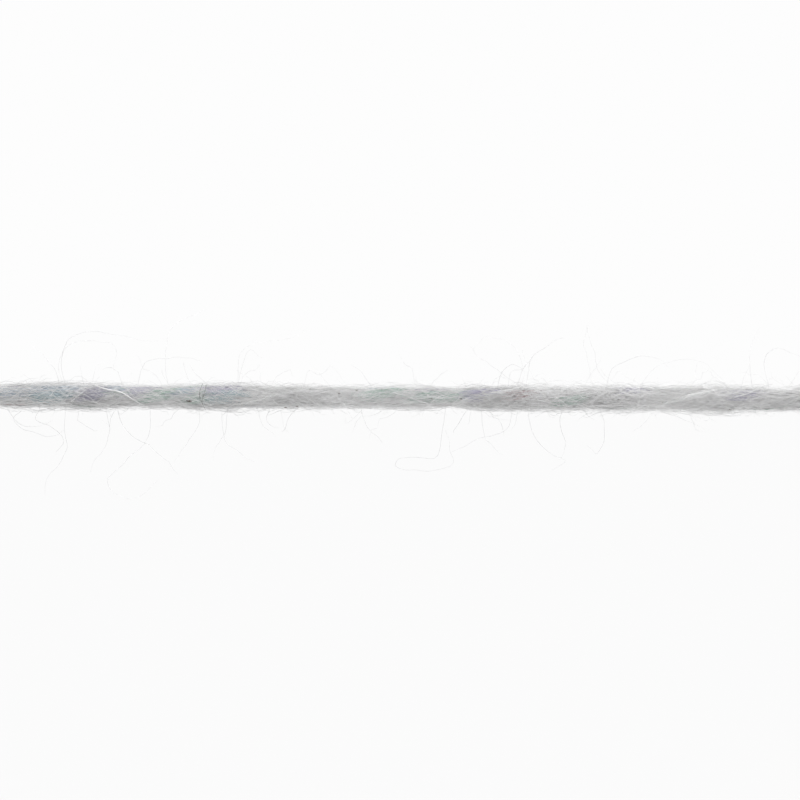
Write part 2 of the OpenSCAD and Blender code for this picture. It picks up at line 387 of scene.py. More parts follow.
# The inside of the plies, painted a shade darker than the wool around it: painted shade, so that gaps
# between fibres look deep.
CORE_WOOL_PAINTED_DARKER = wool("carded wool core, darker for painted shade", "#c0c0c0", "#cecece", "#dcdcdc")
# Wool dyed before it was carded, which leaves soft and faded tints.
BLUE_WOOL = wool("blue dyed wool", "#a2afbe", "#b6c3cf", "#cbd6df")
TEAL_WOOL = wool("teal dyed wool", "#97acb2", "#acc1c6", "#c2d2d6")
GREEN_WOOL = wool("green dyed wool", "#a2b6ad", "#b6cbc1", "#cadbd3")
LILAC_WOOL = wool("lilac dyed wool", "#a4a1b6", "#b9b5c9", "#cecbdc")
PINK_WOOL = wool("faded red dyed wool", "#bda6a8", "#cdb8ba", "#ddcdcf")
# Coarser hairs of the fleece: pale ones catch the light, and dark ones stand out as thin lines.
STRAY_WOOL = wool("stray guard hair", "#d0d0d0", "#e6e6e6", "#f8f8f8")
DARK_WOOL = wool("dark guard hair", "#707472", "#8a8e8c", "#a2a6a4", sheen=0.1)
# Dry bits of plant: dull, dark and brownish grey.
CHAFF = wool("dried plant chaff", "#4c4a46", "#6a6762", "#8e8a84", sheen=0.0)


# -------- trees
BODY_SIDES = 22
FIBRE_SIDES = 3
MAP_NUDGE = 0.0004  # sets a face's corners apart in its map, so that it has some area there
NOISE_MIDDLE = (0.5, 0.5, 0.5)
WAVE_STEPS = (97.0, 89.0)  # sets fibres far apart in the noise that bends them
PATCH_COUNTS = (170, 520, 520)  # changes of shade to a metre, along the strand and across it
PATCH_NOISE = (0.25, 0.75)
PATCH_SHADE = (-0.04, 0.4)  # of the darkest and the palest patch
SHADE_RANGE = 0.64  # between the darkest and the palest fibre of a patch
THINNEST = 0.6  # thinnest fibre of a piece, as a share of its thickest
FIBRE_TIP = 0.3  # thickness at a fibre's tip, as a share of its middle
AT_TIP = 0.25  # square of a tip's place on its fibre, counted from the middle
THIN_FROM = 0.08  # the same where the fibre starts to thin
STRAY_BEND = 1.6  # above 1, a stray end leaves the surface slowly at first
LEAN_END = 0.2  # how far a tail has opened where its fibres' lean is gone
HAIR_CRIMPS = 600.0  # changes to a metre
HAIR_TIP = 0.45
HAIR_MAP_START = 0.2  # place of x = 0 in a hair's map


def vectors(put, *names):
    """The X, Y and Z of each named vector that a line's points carry."""
    reads = [put("GeometryNodeInputNamedAttribute", {"Name": name}, data_type="FLOAT_VECTOR")
             for name in names]
    return [put("ShaderNodeSeparateXYZ", {0: read}).outputs for read in reads]


def ply_centre(put, given, build):
    """How far a ply's middle is from the route. In a tail the plies part."""
    half_open = put("ShaderNodeMath", {0: given["Tail opening"], 1: 0.5}, operation="MULTIPLY")
    centre = put("ShaderNodeMath", {0: build["Y"], 1: half_open, 2: given["Ply offset"]},
                 operation="MULTIPLY_ADD")
    return put("ShaderNodeMath", {0: centre, 1: build["X"]}, operation="MULTIPLY")


def threads(put, given, lines, share):
    """A thin closed thread on each line, with a share of the given thickness at each point."""
    radius = put("ShaderNodeMath", {0: given["Thickness"], 1: 0.5}, operation="MULTIPLY")
    ring = put("GeometryNodeCurvePrimitiveCircle", {"Resolution": FIBRE_SIDES, "Radius": radius})
    mesh = put("GeometryNodeCurveToMesh",
               {"Curve": lines, "Profile Curve": ring, "Scale": share, "Fill Caps": True})
    return put("GeometryNodeSetShadeSmooth", {"Geometry": mesh})


def thread_map(put):
    """The vector finish that a thread carries, a little apart at the corners of a face."""
    corner = put("FunctionNodeIntegerMath", {0: put("GeometryNodeInputIndex"), 1: FIBRE_SIDES},
                 operation="MODULO")
    nudge = put("ShaderNodeMath", {0: corner, 1: MAP_NUDGE}, operation="MULTIPLY")
    nudge = put("ShaderNodeCombineXYZ", {1: nudge})
    finish = put("GeometryNodeInputNamedAttribute", {"Name": "finish"}, data_type="FLOAT_VECTOR")
    return put("ShaderNodeVectorMath", {0: finish, 1: nudge}, operation="ADD")


def complete(put, given, mesh, place):
    """The last steps of a tree: the piece's own map, real geometry and the material."""
    mesh = put("GeometryNodeStoreNamedAttribute",
               {"Geometry": mesh, "Name": "OFBake", "Value": place}, data_type="FLOAT2", domain="CORNER")
    mesh = put("GeometryNodeRealizeInstances", {"Geometry": mesh})
    mesh = put("GeometryNodeSetMaterial", {"Geometry": mesh, "Material": given["Material"]})
    put("NodeGroupOutput", {"Geometry": mesh})


def body_tree():
    """The closed body of one ply: an oval section run along the route, out to one side of it."""
    tree, put, given = new_tree("Ply body", (
        "Side", "Section share", "Ply offset", "Radial radius", "Round radius", "Tail opening",
        "Tail taper",
    ), Material="Material")
    line = put("GeometryNodeMeshToCurve", {"Mesh": given["Geometry"]})
    out = put("GeometryNodeInputNamedAttribute", {"Name": "out"}, data_type="FLOAT_VECTOR")
    build, = vectors(put, "build")
    centre = ply_centre(put, given, build)
    centre = put("ShaderNodeMath", {0: centre, 1: given["Side"]}, operation="MULTIPLY")
    moved = put("ShaderNodeVectorMath", {0: out, 1: centre}, operation="MULTIPLY")
    line = put("GeometryNodeSetPosition", {"Geometry": line, "Offset": moved})
    line = put("GeometryNodeSetCurveNormal", {"Curve": line, "Normal": out}, mode="FREE")
    along = put("GeometryNodeSplineParameter").outputs["Factor"]
    line = put("GeometryNodeStoreNamedAttribute",
               {"Geometry": line, "Name": "along", "Value": along}, data_type="FLOAT")
    ring = put("GeometryNodeCurvePrimitiveCircle", {"Resolution": BODY_SIDES, "Radius": 1.0})
    oval = put("ShaderNodeCombineXYZ", {0: given["Round radius"], 1: given["Radial radius"], 2: 1.0})
    ring = put("GeometryNodeTransform", {"Geometry": ring, "Scale": oval})
    rounds = put("GeometryNodeSplineParameter").outputs["Factor"]
    ring = put("GeometryNodeStoreNamedAttribute",
               {"Geometry": ring, "Name": "round", "Value": rounds}, data_type="FLOAT")
    taper = put("ShaderNodeMapRange", {0: build["Y"], 1: 0.0, 2: 1.0, 3: 1.0, 4: given["Tail taper"]})
    scale = put("ShaderNodeMath", {0: taper, 1: build["X"]}, operation="MULTIPLY")
    scale = put("ShaderNodeMath", {0: scale, 1: given["Section share"]}, operation="MULTIPLY")
    body = put("GeometryNodeCurveToMesh",
               {"Curve": line, "Profile Curve": ring, "Scale": scale, "Fill Caps": True})
    body = put("GeometryNodeSetShadeSmooth", {"Geometry": body})
    along = put("GeometryNodeInputNamedAttribute", {"Name": "along"}, data_type="FLOAT")
    rounds = put("GeometryNodeInputNamedAttribute", {"Name": "round"}, data_type="FLOAT")
    complete(put, given, body, put("ShaderNodeCombineXYZ", {0: along, 1: rounds}))
    return tree


def blank_fibres(put, given):
    """A straight line for each fibre of each tuft. Its where, how and look hold nine random draws."""
    fibres = put("GeometryNodeInputNamedAttribute", {"Name": "fibres"}, data_type="FLOAT")
    cloud = put("GeometryNodeDuplicateElements", {"Geometry": given["Geometry"], "Amount": fibres},
                domain="POINT")
    for number, (name, low) in enumerate((("where", -1), ("how", 0), ("look", 0))):
        seed = put("ShaderNodeMath", {0: given["Seed"], 1: float(number)}, operation="ADD")
        draw = put("FunctionNodeRandomValue",
                   {"Min": (low, low, low), "Max": (1, 1, 1), "Seed": seed}, data_type="FLOAT_VECTOR")
        cloud = put("GeometryNodeStoreNamedAttribute",
                    {"Geometry": cloud, "Name": name, "Value": draw}, data_type="FLOAT_VECTOR")
    blank = put("GeometryNodeCurvePrimitiveLine", {"Start": (0, 0, 0), "End": (1, 0, 0)})
    blank = put("GeometryNodeResampleCurve", {"Curve": blank, "Count": given["Points"]})
    lines = put("GeometryNodeInstanceOnPoints", {"Points": cloud, "Instance": blank})
    return put("GeometryNodeRealizeInstances", {"Geometry": lines})


def own_waves(put, given, place, how):
    """Slow waves along the fibre, each fibre with its own."""
    waves = put("ShaderNodeMath", {0: place, 1: given["Crimp count"]}, operation="MULTIPLY")
    own_a = put("ShaderNodeMath", {0: how["Y"], 1: WAVE_STEPS[0]}, operation="MULTIPLY")
    own_b = put("ShaderNodeMath", {0: how["Z"], 1: WAVE_STEPS[1]}, operation="MULTIPLY")
    waves = put("ShaderNodeCombineXYZ", {0: waves, 1: own_a, 2: own_b})
    waves = put("ShaderNodeTexNoise", {"Vector": waves, "Scale": 1.0, "Detail": 1.0})
    return put("ShaderNodeVectorMath", {0: waves.outputs["Color"], 1: NOISE_MIDDLE}, operation="SUBTRACT")


def own_shade(put, point, look, build):
    """The fibre's own shade, which also changes in patches and from place to place along the strand."""
    patch = put("ShaderNodeVectorMath", {0: point, 1: PATCH_COUNTS}, operation="MULTIPLY")
    patch = put("ShaderNodeTexNoise", {"Vector": patch, "Scale": 1.0, "Detail": 1.0})
    patch = put("ShaderNodeMapRange", {0: patch.outputs["Fac"], 1: PATCH_NOISE[0], 2: PATCH_NOISE[1],
                                       3: PATCH_SHADE[0], 4: PATCH_SHADE[1]})
    shade = put("ShaderNodeMath", {0: look["X"], 1: SHADE_RANGE, 2: patch}, operation="MULTIPLY_ADD")
    return put("ShaderNodeMath", {0: shade, 1: build["Z"]}, operation="ADD", use_clamp=True)


def fibre_tree():
    """Spun fibres. Each point of the geometry is a tuft: its attribute fibres says how many fibres it has,
    tuft holds (place along the route, half its spread, ply side), and facing holds (angle round the ply,
    half its fan, way: 1 or -1). Each fibre follows the route and its ply's lay."""
    tree, put, given = new_tree("Spun fibres", (
        "Shortest", "Longest", "Thickness", "Inner share", "Outer share", "Dive", "Twist", "Twist spread",
        "Wander", "Crimp", "Crimp count", "Lift", "Curl", "Lean", "Ply offset", "Radial radius",
        "Round radius", "Tail opening", "Tail splay", "Tail taper", "Route length",
    ), Route="Object", Points="Int", Seed="Int", Material="Material")
    route = put("GeometryNodeObjectInfo", {"Object": given["Route"]}).outputs["Geometry"]
    route = put("GeometryNodeMeshToCurve", {"Mesh": route})
    lines = blank_fibres(put, given)
    where, how, look, tuft, facing = vectors(put, "where", "how", "look", "tuft", "facing")
    # Place along the route: the tuft, the fibre's place in it, and the point's place on the fibre.
    share = put("GeometryNodeSplineParameter").outputs["Factor"]
    off = put("ShaderNodeMath", {0: share, 1: 0.5}, operation="SUBTRACT")
    length = put("ShaderNodeMix", {0: how["X"], 1: given["Shortest"], 2: given["Longest"]},
                 data_type="FLOAT")
    here = put("ShaderNodeMath", {0: off, 1: length}, operation="MULTIPLY")
    here = put("ShaderNodeMath", {0: here, 1: facing["Z"]}, operation="MULTIPLY")
    place = put("ShaderNodeMath", {0: where["X"], 1: tuft["Y"], 2: tuft["X"]}, operation="MULTIPLY_ADD")
    place = put("ShaderNodeMath", {0: place, 1: here}, operation="ADD")
    waves = own_waves(put, given, place, how)
    wave = put("ShaderNodeSeparateXYZ", {0: waves}).outputs
    # Angle round the ply.
    twist = put("ShaderNodeMath", {0: where["Z"], 1: given["Twist spread"], 2: given["Twist"]},
                operation="MULTIPLY_ADD")
    angle = put("ShaderNodeMath", {0: where["Y"], 1: facing["Y"], 2: facing["X"]},
                operation="MULTIPLY_ADD")
    angle = put("ShaderNodeMath", {0: twist, 1: here, 2: angle}, operation="MULTIPLY_ADD")
    angle = put("ShaderNodeMath", {0: wave["X"], 1: given["Wander"], 2: angle}, operation="MULTIPLY_ADD")
    cosine = put("ShaderNodeMath", {0: angle}, operation="COSINE")
    sine = put("ShaderNodeMath", {0: angle}, operation="SINE")
    outward = put("ShaderNodeCombineXYZ", {0: cosine, 1: sine})
    # Depth in the ply: both ends of a fibre dive below the surface, by Dive at the tip.
    depth = put("ShaderNodeMix", {0: how["Z"], 1: given["Inner share"], 2: given["Outer share"]},
                data_type="FLOAT")
    ends = put("ShaderNodeMath", {0: off, 1: off}, operation="MULTIPLY")
    dive = put("ShaderNodeMath", {0: given["Dive"], 1: -1 / AT_TIP}, operation="MULTIPLY")
    depth = put("ShaderNodeMath", {0: ends, 1: dive, 2: depth}, operation="MULTIPLY_ADD")
    depth = put("ShaderNodeMath", {0: wave["Y"], 1: given["Crimp"], 2: depth}, operation="MULTIPLY_ADD")
    # The ply's section at this place.
    samples = {}
    for name in ("out", "beside", "build"):
        read = put("GeometryNodeInputNamedAttribute", {"Name": name}, data_type="FLOAT_VECTOR")
        samples[name] = put("GeometryNodeSampleCurve", {"Curves": route, "Value": read, "Length": place},
                            mode="LENGTH", data_type="FLOAT_VECTOR")
    build = put("ShaderNodeSeparateXYZ", {0: samples["build"]}).outputs
    taper = put("ShaderNodeMapRange", {0: build["Y"], 1: 0.0, 2: 1.0, 3: 1.0, 4: given["Tail taper"]})
    depth = put("ShaderNodeMath", {0: depth, 1: taper}, operation="MULTIPLY")
    depth = put("ShaderNodeMath", {0: depth, 1: build["X"]}, operation="MULTIPLY")
    radii = put("ShaderNodeCombineXYZ", {0: given["Radial radius"], 1: given["Round radius"]})
    reach = put("ShaderNodeVectorMath", {0: radii, 1: depth}, operation="MULTIPLY")
    # A stray end stands off the surface, and a tail's fibres splay.
    rise = put("ShaderNodeMath", {0: look["Z"], 1: look["Z"]}, operation="MULTIPLY")
    rise = put("ShaderNodeMath", {0: rise, 1: given["Lift"]}, operation="MULTIPLY")
    bent = put("ShaderNodeMath", {0: share, 1: STRAY_BEND}, operation="POWER")
    splay = put("ShaderNodeMath", {0: build["Y"], 1: given["Tail splay"]}, operation="MULTIPLY")
    rise = put("ShaderNodeMath", {0: rise, 1: bent, 2: splay}, operation="MULTIPLY_ADD")
    reach = put("ShaderNodeVectorMath", {0: reach, 1: rise}, operation="ADD")
    # The point itself, out and beside from the route.
    centre = put("ShaderNodeCombineXYZ", {0: ply_centre(put, given, build)})
    local = put("ShaderNodeVectorMath", {0: outward, 1: reach, 2: centre}, operation="MULTIPLY_ADD")
    local = put("ShaderNodeVectorMath", {0: local, "Scale": tuft["Z"]}, operation="SCALE")
    local = put("ShaderNodeSeparateXYZ", {0: local}).outputs
    away = put("ShaderNodeVectorMath", {0: samples["out"], 1: local["X"]}, operation="MULTIPLY")
    away = put("ShaderNodeVectorMath", {0: samples["beside"], 1: local["Y"], 2: away},
               operation="MULTIPLY_ADD")
    point = put("ShaderNodeVectorMath", {0: samples["out"].outputs["Position"], 1: away}, operation="ADD")
    curl = put("ShaderNodeMath", {0: given["Curl"], 1: share}, operation="MULTIPLY")
    point = put("ShaderNodeVectorMath", {0: waves, 1: curl, 2: point}, operation="MULTIPLY_ADD")
    lines = put("GeometryNodeSetPosition", {"Geometry": lines, "Position": point})
    # In a tail the plies part and outwards isn't one way any more, so the lean ends there.
    away = put("ShaderNodeVectorMath", {0: away}, operation="NORMALIZE")
    whole = put("ShaderNodeMapRange", {0: build["Y"], 1: 0.0, 2: LEAN_END, 3: 1.0, 4: 0.0})
    away = put("ShaderNodeVectorMath", {0: away, "Scale": whole}, operation="SCALE")
    # The fibre's map: place along the strand, and its own shade.
    along = put("ShaderNodeMath", {0: place, 1: given["Route length"]}, operation="DIVIDE",
                use_clamp=True)
    finish = put("ShaderNodeCombineXYZ", {0: along, 1: own_shade(put, point, look, build)})
    for name, value in (("finish", finish), ("away", away)):
        lines = put("GeometryNodeStoreNamedAttribute",
                    {"Geometry": lines, "Name": name, "Value": value}, data_type="FLOAT_VECTOR")
    thick = put("ShaderNodeMapRange", {0: look["Y"], 1: 0.0, 2: 1.0, 3: THINNEST, 4: 1.0})
    thin_ends = put("ShaderNodeMapRange", {0: ends, 1: THIN_FROM, 2: AT_TIP, 3: 1.0, 4: FIBRE_TIP})
    thick = put("ShaderNodeMath", {0: thick, 1: thin_ends}, operation="MULTIPLY")
    mesh = threads(put, given, lines, thick)
    # Wool lets light through, so a fibre is lit much like the surface that it lies in: its normals lean
    # outwards.
    away = put("GeometryNodeInputNamedAttribute", {"Name": "away"}, data_type="FLOAT_VECTOR")
    own = put("GeometryNodeInputNormal")
    leant = put("ShaderNodeMix", {0: given["Lean"], 1: own, 2: away}, data_type="VECTOR")
    mesh = put("GeometryNodeSetMeshNormal", {"Mesh": mesh, "Custom Normal": leant}, mode="FREE",
               domain="POINT")
    complete(put, given, mesh, thread_map(put))
    return tree


def hair_tree():
    """Long stray hairs: smooth curves through the points of each line, crimped, and thinner to the tip."""
    tree, put, given = new_tree("Stray hairs", ("Step", "Thickness", "Crimp", "Route length"),
                                Material="Material")
    line = put("GeometryNodeMeshToCurve", {"Mesh": given["Geometry"]})
    line = put("GeometryNodeCurveSplineType", {"Curve": line}, spline_type="CATMULL_ROM")
    line = put("GeometryNodeResampleCurve", {"Curve": line, "Length": given["Step"]}, mode="LENGTH")
    place = put("GeometryNodeInputPosition")
    share = put("GeometryNodeSplineParameter").outputs["Factor"]
    crimp = put("ShaderNodeTexNoise", {"Vector": place, "Scale": HAIR_CRIMPS, "Detail": 1.0})
    crimp = put("ShaderNodeVectorMath", {0: crimp.outputs["Color"], 1: NOISE_MIDDLE},
                operation="SUBTRACT")
    amount = put("ShaderNodeMath", {0: given["Crimp"], 1: share}, operation="MULTIPLY")
    crimp = put("ShaderNodeVectorMath", {0: crimp, 1: amount}, operation="MULTIPLY")
    line = put("GeometryNodeSetPosition", {"Geometry": line, "Offset": crimp})
    along = put("ShaderNodeSeparateXYZ", {0: place}).outputs["X"]
    along = put("ShaderNodeMath", {0: along, 1: given["Route length"]}, operation="DIVIDE")
    along = put("ShaderNodeMath", {0: along, 1: HAIR_MAP_START}, operation="ADD", use_clamp=True)
    shade = put("GeometryNodeInputNamedAttribute", {"Name": "shade"}, data_type="FLOAT")
    finish = put("ShaderNodeCombineXYZ", {0: along, 1: shade})
    line = put("GeometryNodeStoreNamedAttribute",
               {"Geometry": line, "Name": "finish", "Value": finish}, data_type="FLOAT_VECTOR")
    bulk = put("GeometryNodeInputNamedAttribute", {"Name": "bulk"}, data_type="FLOAT")
    taper = put("ShaderNodeMapRange", {0: share, 1: 0.5, 2: 1.0, 3: 1.0, 4: HAIR_TIP})
    scale = put("ShaderNodeMath", {0: bulk, 1: taper}, operation="MULTIPLY")
    complete(put, given, threads(put, given, line, scale), thread_map(put))
    return tree


BODY_TREE = body_tree()
FIBRE_TREE = fibre_tree()
HAIR_TREE = hair_tree()

# -------- the plies
# The spun plies are drawn a little smaller than their slivers, as loose fibres lie over them.
SHOWN = 0.7
PLY_SIZES = {
    "Ply_offset": PLY_OFFSET * SHOWN * MM, "Radial_radius": RADIAL_R * SHOWN * MM,
    "Round_radius": ROUND_R * SHOWN * MM, "Tail_opening": TAIL_OPENING * MM, "Tail_taper": TAIL_TAPER,
}
CORE_SHARE = 0.8  # size of a ply's solid inside, as a share
CORE_TAPER = 0.04  # its size at the tips, as a share of that
LONGEST_SPUN = 11 * MM  # longest fibre of the plies
TIP_SPREAD = 0.3 * MM  # half the spread of the tufts at the tips
TUFT_SPREAD = 0.45  # half the spread of a dyed tuft, as a share of its length
TUFT_FAN = 0.5  # half its fan round the strand, in radians
TUFTS_BEHIND = 10
BEHIND_Z = 0.8  # greatest height of a tuft behind
BEHIND_SPREADS = (0.4, 1.4)
route_line = linked("route_line", line_mesh(
    "route_line", [ROUTE["points"]], out=ROUTE["out"], beside=ROUTE["beside"], build=ROUTE["build"]))


def joined(name, objects):
    """Several plain mesh objects as one."""
    with bpy.context.temp_override(active_object=objects[0], selected_editable_objects=objects):
        bpy.ops.object.join()
    objects[0].name = name
    objects[0].data.name = name
    return objects[0]


def ply_body(side):
    """The inside of one ply, which thins out before the frayed tips."""
    # The core's darker colour is painted shade for the deep gaps between fibres.
    return grown("ply_body", route_line.data.copy(), BODY_TREE, Side=float(side), Section_share=CORE_SHARE,
                 Material=CORE_WOOL_PAINTED_DARKER, **(PLY_SIZES | {"Tail_taper": CORE_TAPER}))


def lay_on(piece, nodes):
    """Puts a finished piece on the strand, in the place of its solids."""
    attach(piece, "root")
    if nodes:
        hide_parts(*nodes)


def fibre_piece(name, tufts, seed, material, slot, *nodes, **sizes):
    """A piece of fibres. tufts lists (place, half spread, side, angle, half fan, way, number of fibres)."""
    table = np.array(tufts, float)
    mesh = line_mesh(name, [[(0, 0, 0)]] * len(tufts), tuft=table[:, :3], facing=table[:, 3:6],
                     fibres=table[:, 6])
    usual = {
        "Points": 12, "Shortest": 5 * MM, "Longest": LONGEST_SPUN, "Thickness": 0.06 * MM,
        "Inner_share": 0.86, "Outer_share": 1.04, "Dive": 0.12, "Twist": 0.62 / MM,
        "Twist_spread": 0.45 / MM, "Wander": 1.3, "Crimp": 0.2, "Crimp_count": 600.0, "Lean": 0.55,
        "Lift": 0.0, "Curl": 0.0, "Tail_splay": TAIL_SPLAY * MM,
    }
    piece = grown(name, mesh, FIBRE_TREE, Route=route_line, Route_length=ROUTE_LENGTH, Seed=seed,
                  Material=material, **(PLY_SIZES | usual | sizes))
    lay_on(piece, nodes)


def all_along(count, side, way=1, longest=LONGEST_SPUN):
    """Tufts for one ply from tail to tail, all round."""
    half = ROUTE_LENGTH / 2
    return [(half, half - longest / 2, side, 0.0, math.pi, way, count)]


def at_tips(count, side):
    """Tufts that reach to both frayed tips."""
    reach = LONGEST_SPUN / 2
    return [(place, TIP_SPREAD, side, 0.0, math.pi, 1, count) for place in (reach, ROUTE_LENGTH - reach)]


def skin_piece(name, count, seed, material, slot, sizes):
    """A piece of fibres that lie over both plies, from tail to tail."""
    fibre_piece(name, all_along(count, 1, longest=sizes["Longest"]), seed, material, slot, **sizes)


def dyed(places, each, seed):
    """Tufts at places (x, height, length of the tuft, share of the usual number), and others behind."""
    tufts = []
    for x, z, length, share in places:
        place, angle, _ = on_skin(x, z)
        spread = length * TUFT_SPREAD * MM
        tufts.append((place, spread, 1, angle, TUFT_FAN, 1, round(each * length * share)))
    draw = np.random.default_rng(seed)
    for _ in range(TUFTS_BEHIND):
        x, z = draw.uniform(1, FREE_LENGTH - 1), draw.uniform(-BEHIND_Z, BEHIND_Z)
        place, angle, _ = on_skin(x, z, back=True)
        tufts.append((place, draw.uniform(*BEHIND_SPREADS) * MM, 1, angle, TUFT_FAN, 1, each * 2))
    return tufts


core = joined("plied_core", [ply_body(1), ply_body(-1)])
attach(core, "root")
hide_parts("ply_a_core", "ply_b_core")

fibre_piece("ply_a_grey_fibres", all_along(2700, 1) + at_tips(90, 1), 11, GREY_WOOL, "grey_wool",
            "ply_a_grey_sliver")
fibre_piece("ply_b_grey_fibres", all_along(2100, -1) + at_tips(90, -1), 23, GREY_WOOL, "grey_wool",
            "ply_b_grey_sliver")
fibre_piece("ply_b_white_fibres", all_along(450, -1), 37, PALE_WOOL, "white_wool", "ply_b_white_sliver",
            Inner_share=0.6, Outer_share=0.9)

# Loose fibres lie over both plies, nearly along the strand, and bridge the groove between them.
TURN_BACK = math.radians(360) / (LAY_LENGTH * MM)  # would run a fibre straight along the strand
SKIN = {
    "Ply_offset": 0.02 * MM, "Radial_radius": SKIN_R * MM, "Round_radius": SKIN_R * 0.92 * MM,
    "Thickness": 0.036 * MM, "Points": 11, "Inner_share": 0.95, "Outer_share": 1.03,
    "Twist": TURN_BACK * 0.85, "Twist_spread": 0.3 / MM, "Wander": 1.2, "Crimp": 0.12,
    "Crimp_count": 480.0, "Dive": 0.06, "Shortest": 2.5 * MM, "Longest": 7.5 * MM,
}
LOOSE = SKIN | {
    "Thickness": 0.055 * MM, "Twist_spread": 0.4 / MM, "Inner_share": 0.76, "Outer_share": 0.97,
}
CRIMPED = SKIN | {
    "Points": 16, "Shortest": 2 * MM, "Longest": 5 * MM, "Thickness": 0.055 * MM, "Inner_share": 1.0,
    "Outer_share": 1.08, "Wander": 1.7, "Crimp": 0.5, "Crimp_count": 850.0, "Twist_spread": 1.2 / MM,
    "Dive": 0.15,
}
skin_piece("loose_grey_fibres", 2800, 41, GREY_WOOL, "grey_wool", LOOSE)
skin_piece("combed_grey_fibres", 3150, 47, GREY_WOOL, "grey_wool", SKIN)
skin_piece("loose_white_fibres", 2400, 43, PALE_WOOL, "white_wool", SKIN)
skin_piece("crimped_pale_fibres", 900, 53, PALE_WOOL, "white_wool", CRIMPED)

# Dyed tufts that show on the side towards -Y: x, height, length, in mm, and share of fibres.
BLUE = ((0.5, 0.2, 1.5, 1), (3.4, 0.2, 1.5, 1), (6.4, 0.7, 2, 1), (8.6, 0.7, 2, 1), (12.9, 0.8, 1.4, 1),
        (18.6, 0.4, 0.9, 1.5))
TEAL = ((6.6, 0.0, 2, 1), (8.2, 0.0, 1.8, 1), (21.9, 0.1, 2.6, 1.5))
GREEN = ((12.9, 0.4, 1.4, 0.5), (16.5, 0.2, 2.7, 1), (19.8, -0.1, 1.2, 1.5), (35.7, 0.4, 2.9, 1),
         (39.4, 0.1, 2, 1), (41.2, 0.1, 2, 1), (51.5, -0.3, 1.5, 1))
LILAC = ((2.5, 0.8, 3, 0.8), (10.8, 0.3, 2.4, 1), (14.4, 0.4, 1.0, 1.2), (15.2, 0.9, 2.5, 0.7),
         (21.9, 0.7, 2.6, 1), (43.8, 0.5, 2.8, 1), (56.9, 0.8, 1.3, 1), (66.5, 0.5, 1.4, 1))
PINK = ((47.3, 0.3, 1.3, 1),)
TUFT = SKIN | {"Longest": 5 * MM, "Inner_share": 0.96, "Outer_share": 1.08, "Dive": 0.2}
for name, places, each, seed, material, slot, *nodes in (
    ("blue_dyed_fibres", BLUE, 28, 51, BLUE_WOOL, "blue_wool", "ply_a_blue_sliver"),
    ("teal_dyed_fibres", TEAL, 28, 67, TEAL_WOOL, "blue_wool"),
    ("green_dyed_fibres", GREEN, 34, 79, GREEN_WOOL, "green_wool", "ply_a_green_sliver"),
    ("lilac_dyed_fibres", LILAC, 34, 83, LILAC_WOOL, "lilac_wool", "ply_b_lilac_sliver"),
    ("faded_red_fibres", PINK, 17, 97, PINK_WOOL, "lilac_wool"),
):
    fibre_piece(name, dyed(places, each, seed), seed, material, slot, *nodes, **TUFT)

# Loops of loose fibre that rise a little from the surface and go back in, and soften its edge.
LOOPS = SKIN | {
    "Shortest": 2 * MM, "Longest": 6 * MM, "Thickness": 0.027 * MM, "Inner_share": 1.0,
    "Outer_share": 1.58, "Dive": 0.5, "Crimp": 1.0, "Wander": 2.0, "Twist_spread": 0.8 / MM,
    "Points": 12, "Lean": 0.4,
}
DOWN = LOOPS | {"Longest": 5 * MM, "Thickness": 0.02 * MM, "Outer_share": 1.42, "Dive": 0.3, "Crimp": 0.6}
skin_piece("soft_loops", 2800, 127, STRAY_WOOL, "stray_wool", LOOPS)
skin_piece("fine_down", 2850, 149, STRAY_WOOL, "stray_wool", DOWN)

# Fuzz that stands off the surface all along, leaning both ways.
FUZZ = SKIN | {
    "Shortest": 1.5 * MM, "Longest": 4.5 * MM, "Thickness": 0.026 * MM, "Curl": 1.6 * MM, "Wander": 1.8,
    "Twist_spread": 0.8 / MM, "Crimp_count": 1300.0, "Points": 10, "Inner_share": 0.92, "Dive": 0.0,
    "Lean": 0.2,
}
for name, count, seed, lift in (("short_fuzz", 1750, 131, 0.9), ("longer_fuzz", 170, 137, 3.0)):
    both_ways = all_along(count, 1) + all_along(count, 1, way=-1)
    fibre_piece(name, both_ways, seed, STRAY_WOOL, "stray_wool", Lift=lift * MM, **FUZZ)

